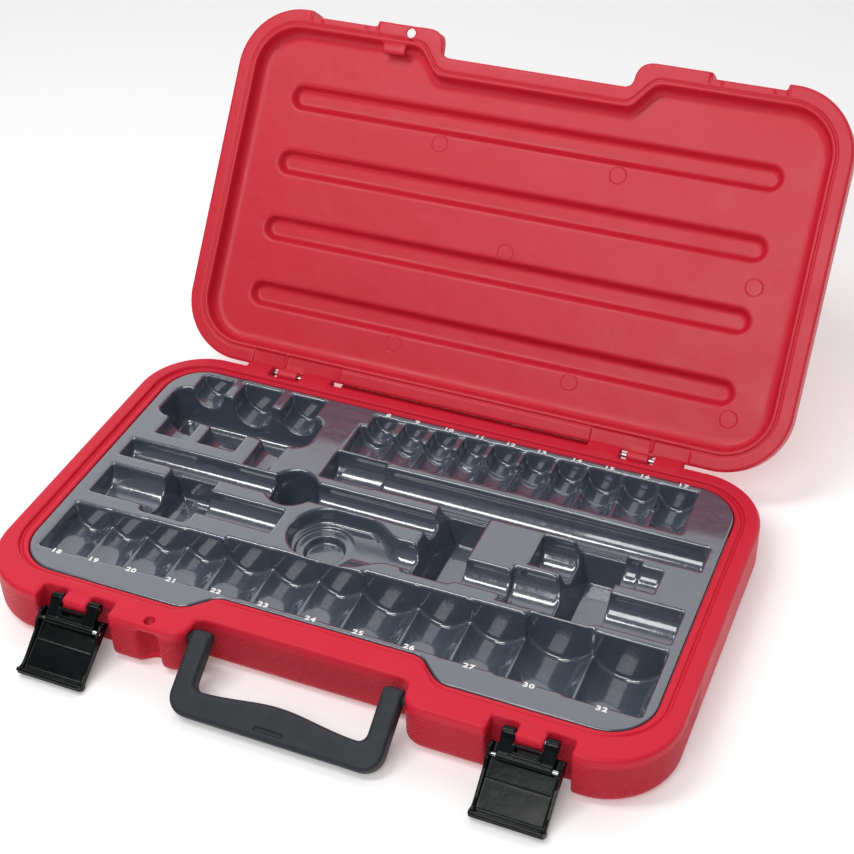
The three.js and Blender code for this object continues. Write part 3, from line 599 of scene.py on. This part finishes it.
def make_tray():
    """The sheet's upper skin: a slab with every pocket cut down into it, and no underside."""
    b = Block((-214.6, -110.1, 1.8), (214.6, 120.6, 38.2), 0.8)

    def hollow(x0, x1, y0, y1, shape, k=1.6):
        b.add((x0, x1, y0, y1, 0, 60), shape, k)

    last = len(FRONT_BACKS) - 1
    for i in range(last + 1):
        x0, x1 = FRONT_EDGES[i], FRONT_EDGES[i + 1]
        half, mid = (x1 - x0) / 2, (x0 + x1) / 2
        depth = min(22 + (2 * half - 25) * 0.72, 33.9)
        radius = half * 1.18
        front, back = -86.4 - 4.1 * (mid / 205) ** 2, FRONT_BACKS[i]

        def cradle(x, y, z):
            arc = np.hypot(x - mid, np.minimum(z - (RIM - depth + radius), 0)) - radius
            left = x0 - x - (0.25 if i else (z - RIM + 15) * DRAFT)
            right = x - x1 - (0.25 if i < last else (z - RIM + 15) * DRAFT)
            ends = np.maximum(front - y, y - back) - (z - RIM + depth * 0.5) * DRAFT
            return smax(smax(arc, np.maximum(left, right), 0.0 if 0 < i < last else 1.0), ends, 3.0)
        hollow(x0, x1, front, back, cradle, 2.4)
    for i in range(len(BACK_SEATS)):
        x0, x1 = BACK_EDGES[i], BACK_EDGES[i + 1]
        big = i > 6
        front_depth = 21.5 if big else 19.0
        nose = 0.2 if big else 3.0 - 0.3 * i
        left = x0 - 2.5 if i == 0 else x0
        hollow(left, x1, 71, 99, lambda x, y, z: trough(y, x, z, 71, 99, left, x1, front_depth, 2.5), 1.4)
        hollow(x0, x1, 96, 113.5, lambda x, y, z: trough(
            y, x, z, 96, 113.5, x0 + nose, x1 - nose, BACK_SEATS[i], 2.5), 1.4)
    for i, ridge in enumerate(BACK_RIDGES):
        cx = BACK_EDGES[i + 1]
        hollow(cx - 5, cx + 5, 71, 99, lambda x, y, z: smax(
            rect(x, y, cx - 5, cx + 5, 70.5, 99, 1), RIM - ridge - z, 1.0), 2.0)
    hollow(-53, 181, 96, 113.5, lambda x, y, z: smax(rect(x, y, -53, 181, 90, 113.5, 2), RIM - 4 - z, 0.8), 1.0)
    # three upright troughs crossed by one finger hole
    hollow(-192, -168, 41, 115, lambda x, y, z: trough(y, x, z, 41, 113, -192, -168, 17))
    hollow(-159, -129, 42, 114, lambda x, y, z: trough(y, x, z, 62, 114, -159, -129, 24.5))
    hollow(-158, -130, 42, 70, lambda x, y, z: trough(y, x, z, 42, 70, -158, -130, 20))
    hollow(-120, -94, 61, 115, lambda x, y, z: trough(y, x, z, 61, 115, -120, -94, 21.5))
    hollow(-117, -98, 32, 64, lambda x, y, z: trough(y, x, z, 32, 66, -117, -98, 15))
    hollow(-203.5, -85, 62, 95, lambda x, y, z: pit(x, y, z, -203.5, -85, 62, 95, DEEP, 9))
    # bar groove with its round finger hole
    hollow(-203.5, -85, 10, 29, lambda x, y, z: trough(x, y, z, -203.5, -70, 10.5, 28.5, 15))
    hollow(-75, 30, 13, 31, lambda x, y, z: trough(x, y, z, -75, 30, 13, 30.5, 15))
    hollow(-92, -56, 3, 39, lambda x, y, z: bowl(x, y, z, -74, 21, 17, DEEP))
    # adapter pocket, finger hole, short extension
    hollow(-202, -150, -31, -1, lambda x, y, z: trough(x, y, z, -202, -150, -31, -1, 18))
    hollow(-160, -125, -36, 16, lambda x, y, z: pit(x, y, z, -160, -125, -36, 16, DEEP, 3))
    hollow(-130, -68, -25, -3, lambda x, y, z: trough(x, y, z, -130, -68, -25, -3, 15))
    # ratchet head, neck and grip
    def head(x, y, z):
        across = np.clip(x, -34.0, -13.0)
        walls = np.hypot(x - across, y + 13.5) - 23.5 - (z - RIM + 7) * DRAFT
        return smax(walls, RIM - 14 - z, 3)
    hollow(-58, 12, -38, 11, head)
    hollow(-10, 30, -24, -2, lambda x, y, z: trough(x, y, z, -14, 30, -24, -2, 15), 9)
    hollow(-54, -14, -35, 5, lambda x, y, z: bowl(x, y, z, -33.5, -14.5, 20, 16, 1.5), 0.8)
    hollow(-48, -18, -30, 0, lambda x, y, z: bowl(x, y, z, -33, -15.5, 14, 22, 2), 0.8)
    hollow(60, 97, -24, -3, lambda x, y, z: trough(x, y, z, 58, 98, -24, -3, 15))
    hollow(94, 125, -30, 2, lambda x, y, z: trough(x, y, z, 94, 127, -30, 2, 19))
    hollow(155, 205, -28, 1, lambda x, y, z: trough(x, y, z, 150, 205, -28, 1, 18.5))
    hollow(26, 62, -27, 45, lambda x, y, z: finger_hole(x, y, z, 26, 62, -27, 45, 0.38, 0.16))
    hollow(122, 157, -30, 45, lambda x, y, z: finger_hole(x, y, z, 122, 157, -30, 46, 0.34, 0.3))
    # long extension
    hollow(-61.5, -24, 39, 68, lambda x, y, z: trough(x, y, z, -61.5, -24, 39.5, 68, 20))
    hollow(-30, 204.5, 40, 63, lambda x, y, z: trough(x, y, z, -30, 204.5, 40.5, 63, 18))
    # universal joint
    hollow(102, 124, 8, 37, lambda x, y, z: trough(x, y, z, 102, 127, 8, 37, 21))
    hollow(152, 168, 11, 36, lambda x, y, z: trough(x, y, z, 150, 168, 11, 36, 17))
    hollow(164, 183, 10, 32, lambda x, y, z: trough(x, y, z, 160, 183, 10.5, 31.5, 13))
    x, y, z = b.all()
    b.d = smax((z - TRAY_TOP) + 0 * b.d, -b.d, 2.6)
    b.d = smax(b.d, tray_plan(x, y) + 0 * z, 1.0).astype(np.float32)
    edge = lambda v: tray_plan(v[:, 0], v[:, 1])
    piece("tray_sheet", b, sheet_grey, "base", "tool_tray", target=180000,
                 keep=lambda v: (edge(v) < -1.2) | (v[:, 2] > 33))


# ------------------------------------------------------------------ handle
def make_handle():
    """The bail hangs straight down about its pivot, then turns out by HANDLE_TILT."""
    b = Block((-84, -7, -HANDLE_DROP - 3), (84, 7, 8), 0.7)

    def bail(x, y, z):
        ax = np.abs(x)
        outer = rect(x, z, -71, 71, -HANDLE_DROP, 40, 13)
        sag = 5.5 * np.exp(-(x / 34.0) ** 2)
        inner = smax(ax - 57.6, -(z + HANDLE_DROP - 16.5 - sag), 7)
        flat = smax(outer, -inner, 0)
        return round_edge(flat, np.hypot(y, np.maximum(z, 0)) - 5.5, 2.6)
    b.add((-84, 84, -7, 7, -HANDLE_DROP, 8), bail)
    for side in (-1, 1):
        a0, a1 = sorted((side * 68, side * 80))
        b.add((a0, a1, -4, 4, -4, 4), lambda x, y, z: rod_x(x, y, z, a0, a1, 0, 0, 3.0, 0.5))
    mark = 4.8 - HANDLE_DROP
    b.cut((-11, 8, -7, -4, mark, mark + 3), lambda x, y, z: brick(
        x, y, z, -11, 8, -8, -4.4, mark, mark + 2.4, 0.4), 0.5)

    def place(p):
        q = p.copy()
        q[:, 1] += HANDLE_PIVOT[0]
        q[:, 2] += HANDLE_PIVOT[1]
        return turn_x(q, -HANDLE_TILT, *HANDLE_PIVOT)
    piece("handle_bail", b, handle_grey, "handle", "handle", target=30000, place=place)


# ------------------------------------------------------------------ draw latches
def make_link(side, name):
    """Two eyes on the base's wire, a cross bar with a slot, and the bar that carries the lever's wire."""
    ay, az = LINK_A
    by, bz = LINK_B
    b = Block((-19, -134.5, 14), (19, -121, 39), 0.35)
    for s in (-1, 1):
        a0, a1 = sorted((s * 9.4, s * 17.2))
        b.add((a0, a1, -132, -122, 28, 38), lambda x, y, z: rod_x(x, y, z, a0, a1, ay, az, 3.5, 0.6))
        b.add((a0, a1, -132, -122, 17, 36),
              lambda x, y, z: brick(x, y, z, a0, a1, by - 1.6, by + 2.4, bz - 1, az, 0.8), 1.0)
    b.add((-18, 18, -132, -125, 15, 24), lambda x, y, z: rod_x(x, y, z, -17.3, 17.3, by, bz, 2.7, 0.5), 0.6)
    b.add((-18, 18, -131, -126, 19, 29),
          lambda x, y, z: brick(x, y, z, -17, 17, by - 1.2, by + 1.2, bz, 28.4, 0.4), 0.5)
    b.cut((-8, 8, -134, -122, 23, 27.2), lambda x, y, z: brick(x, y, z, -7.5, 7.5, -140, -115, 23.7, 26.9, 0.5), 0.3)
    b.cut((-20, 20, -131, -122, 30, 37), lambda x, y, z: rod_x(x, y, z, -25, 25, ay, az, EYE_BORE, 0))
    b.cut((-20, 20, -131, -125, 17, 22), lambda x, y, z: rod_x(x, y, z, -25, 25, by, bz, EYE_BORE, 0))

    def place(p):
        q = p.copy()
        q[:, 0] += side * LATCH_X
        return turn_x(q, -LINK_SWING, ay, az)
    piece("link_" + name, b, latch_black, "link_" + name, "latch_link_" + name,
                 target=16000, place=place)


def make_lever(side, name):
    """A plate with two cheeks and a rolled lip, meshed as latched, then swung to rest."""
    by, bz = LINK_B
    top = bz + 35
    plate = -131.6
    b = Block((-24.5, -135.4, bz - 9.5), (24.5, -123.4, top + 3.5), 0.4)
    b.add((-23, 23, -134, -131, bz - 8, top), lambda x, y, z: brick(
        x, y, z, -22.75, 22.75, plate - 1.9, plate, bz - 8, top + 0.5, 0.6))

    def cheek(x, y, z):
        reach = np.interp(z.ravel(), [bz - 8, bz - 4, bz + 3.5, bz + 9, top - 9, top - 3],
                          [plate + 3.5, by + 3.0, by + 3.2, plate + 3.2, plate + 1.6, plate + 2.0]).astype(np.float32)
        deep = np.maximum(y - reach[None, None, :], plate - 1 - y)
        high = np.maximum(bz - 8 - z, z - top)
        return smax(np.maximum(np.abs(np.abs(x) - 21.75) - 1.0, deep), high, 1.5)
    b.add((-23, 23, -134, -124, bz - 8, top), cheek, 0.8)

    def lip(x, y, z):
        ring = np.abs(np.hypot(y - (plate + 2.2), z - (top - 1.6)) - 3.0) - 1.1
        ring = np.maximum(ring, np.maximum(y - (plate + 3), (top - 1.4) - z))
        tongue = rect(y, z, plate + 2.0, plate + 6.0, top - 1.0, top + 1.6, 0.9)
        return smax(smin(ring, tongue, 1.2), np.abs(x) - 22.75, 0.8)
    b.add((-23, 23, -134, -124, top - 6, top + 3), lip, 2.6)
    b.cut((-24, 24, -131, -126, bz - 3, bz + 3), lambda x, y, z: rod_x(x, y, z, -25, 25, by, bz, EYE_BORE, 0))
    b.add((-21, 21, -132, -131, bz + 13.2, bz + 14.2), lambda x, y, z: brick(
        x, y, z, -20.8, 20.8, plate - 0.5, plate + 0.12, bz + 13.4, bz + 14.0, 0.2), 0.3)

    def place(p):
        q = p.copy()
        q[:, 0] += side * LATCH_X
        q = turn_x(q, LEVER_OPEN + LINK_SWING, by, bz)
        return turn_x(q, -LINK_SWING, *LINK_A)
    piece("lever_" + name, b, latch_black, "lever_" + name, "latch_lever_" + name,
                 target=24000, place=place)


def make_pin(name, x0, x1, y, z, body, node):
    """A drawn wire pin with domed ends, closed at both."""
    r, sides = WIRE_R, 24
    dome = [(0.7 * (1 - math.cos(a)), r * math.sin(a)) for a in (0.02, 0.4, 0.8, 1.2, math.pi / 2)]
    rings = [(x0 + t, q) for t, q in dome] + [(x1 - t, q) for t, q in reversed(dome)]
    angles = [2 * math.pi * k / sides for k in range(sides)]
    verts = [(px, y + q * math.cos(a), z + q * math.sin(a)) for px, q in rings for a in angles]
    faces = [(i * sides + k, i * sides + (k + 1) % sides, (i + 1) * sides + (k + 1) % sides, (i + 1) * sides + k)
             for i in range(len(rings) - 1) for k in range(sides)]
    obj = mesh_object(name, verts, faces)
    work = bmesh.new()
    work.from_mesh(obj.data)
    bmesh.ops.holes_fill(work, edges=work.edges, sides=sides)
    bmesh.ops.recalc_face_normals(work, faces=work.faces)
    work.to_mesh(obj.data)
    work.free()
    obj.data.materials.append(steel)
    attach(obj, body)
    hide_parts(node)


# ------------------------------------------------------------------ moulded size numbers
FRONT_MARKS = [("18", -189, -92.5), ("19", -162, -91), ("20", -134, -90.5), ("21", -105, -89.5), ("22", -73.5, -88),
               ("23", -40, -88), ("24", -7, -88.5), ("25", 25.5, -88.5), ("26", 59.5, -88.5), ("27", 99, -90),
               ("30", 137.5, -91.5), ("32", 183, -93.3)]
BACK_MARKS = [-44.5, -22, 2, 25.5, 48.5, 71.5, 97, 120.5, 145.5, 172.5]


def make_marks():
    """One flat, joined piece for all the numbers."""
    objs = []
    for text, x, y in FRONT_MARKS + [(str(8 + i), x, 116.2) for i, x in enumerate(BACK_MARKS)]:
        curve = bpy.data.curves.new("mark", "FONT")
        curve.body = text
        curve.size = 0.0043
        curve.offset = 0.00018
        curve.space_character = 1.15
        curve.align_x = "CENTER"
        curve.align_y = "CENTER"
        curve.extrude = 0.00006
        curve.resolution_u = 3
        obj = bpy.data.objects.new("mark", curve)
        obj.location = (x / 1000, y / 1000, (TRAY_TOP + 0.02) / 1000)
        obj.scale = (1.56, 1.14, 1)
        bpy.context.scene.collection.objects.link(obj)
        objs.append(obj)
    for o in bpy.context.selected_objects:
        o.select_set(False)
    for o in objs:
        o.select_set(True)
    bpy.context.view_layer.objects.active = objs[0]
    bpy.ops.object.convert(target="MESH")
    bpy.ops.object.join()
    bpy.ops.object.transform_apply(location=True, rotation=True, scale=True)
    obj = bpy.context.view_layer.objects.active
    obj.name = "size_marks"
    obj.data.materials.clear()
    obj.data.materials.append(ink)
    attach(obj, "base")


# ------------------------------------------------------------------ camera, floor, light
scene = bpy.context.scene
camera = bpy.data.cameras.new("camera")
camera.sensor_width = 36
camera.lens = 68.716
view = bpy.data.objects.new("camera", camera)
scene.collection.objects.link(view)
turning = Vector((2.2074737, 0.4301439, -0.2451305))
right, down, ahead = Matrix.Rotation(turning.length, 3, turning.normalized())
pose = Matrix((right, -down, -ahead)).transposed().to_4x4()
pose.translation = Vector((0.3554, -0.7150, 0.7502))
view.matrix_world = pose
scene.camera = view

make_base()
make_lid()
make_tray()
make_handle()
for side, name in ((-1, "left"), (1, "right")):
    make_link(side, name)
    make_lever(side, name)
    a0, a1 = sorted((side * 99.5, side * 166.5))
    make_pin("hinge_wire_" + name, a0, a1, *HINGE, "base", "hinge_pin_" + name)
    cx = side * LATCH_X
    make_pin("latch_wire_" + name, cx - 17, cx + 17, *LINK_A, "base", "latch_pin_" + name)
    end = turn_x(np.array([[0.0, *LINK_B]]), -LINK_SWING, *LINK_A)[0]
    make_pin("lever_wire_" + name, cx - 22.5, cx + 22.5, end[1], end[2], "link_" + name, "lever_pin_" + name)
make_marks()

floor_mesh = bpy.data.meshes.new("floor")
half = 6.0
floor_mesh.from_pydata([(-half, -half, 0), (half, -half, 0), (half, half, 0), (-half, half, 0)], [], [(0, 1, 2, 3)])
floor = bpy.data.objects.new("floor", floor_mesh)
scene.collection.objects.link(floor)
floor_mat, _, floor_shader = principled("pale_floor", (0.9, 0.9, 0.9), 0.8)
floor_shader.inputs["Emission Color"].default_value = (1, 1, 1, 1)
floor_shader.inputs["Emission Strength"].default_value = 0.15
floor_mesh.materials.append(floor_mat)

world = bpy.data.worlds.new("studio")
world.use_nodes = True
sky = world.node_tree
sky_coord = sky.nodes.new("ShaderNodeTexCoord")
sky_split = sky.nodes.new("ShaderNodeSeparateXYZ")
sky.links.new(sky_coord.outputs["Generated"], sky_split.inputs[0])
behind = sky.nodes.new("ShaderNodeMapRange")
behind.interpolation_type = "SMOOTHSTEP"
for key, value in (("From Min", 0.1), ("From Max", 0.5), ("To Min", 0.2), ("To Max", 1.3)):
    behind.inputs[key].default_value = value
sky.links.new(sky_split.outputs["Y"], behind.inputs["Value"])
sky.nodes["Background"].inputs[0].default_value = (1, 1, 1, 1)
sky.links.new(behind.outputs[0], sky.nodes["Background"].inputs[1])
scene.world = world
scene.view_settings.view_transform = "Standard"


def softbox(name, place, aim, size, power):
    """A rectangular area lamp that points at aim."""
    lamp = bpy.data.lights.new(name, "AREA")
    lamp.shape = "RECTANGLE"
    lamp.size, lamp.size_y = size
    lamp.energy = power
    obj = bpy.data.objects.new(name, lamp)
    obj.location = place
    obj.rotation_euler = (Vector(aim) - Vector(place)).to_track_quat("-Z", "Y").to_euler()
    scene.collection.objects.link(obj)


softbox("key", (-0.48, -0.34, 1.4), (0, 0.0, 0.03), (0.26, 0.9), 8.8)
softbox("fill", (0.16, -1.05, 1.2), (0.1, 0.2, 0.1), (0.8, 0.6), 9.2)
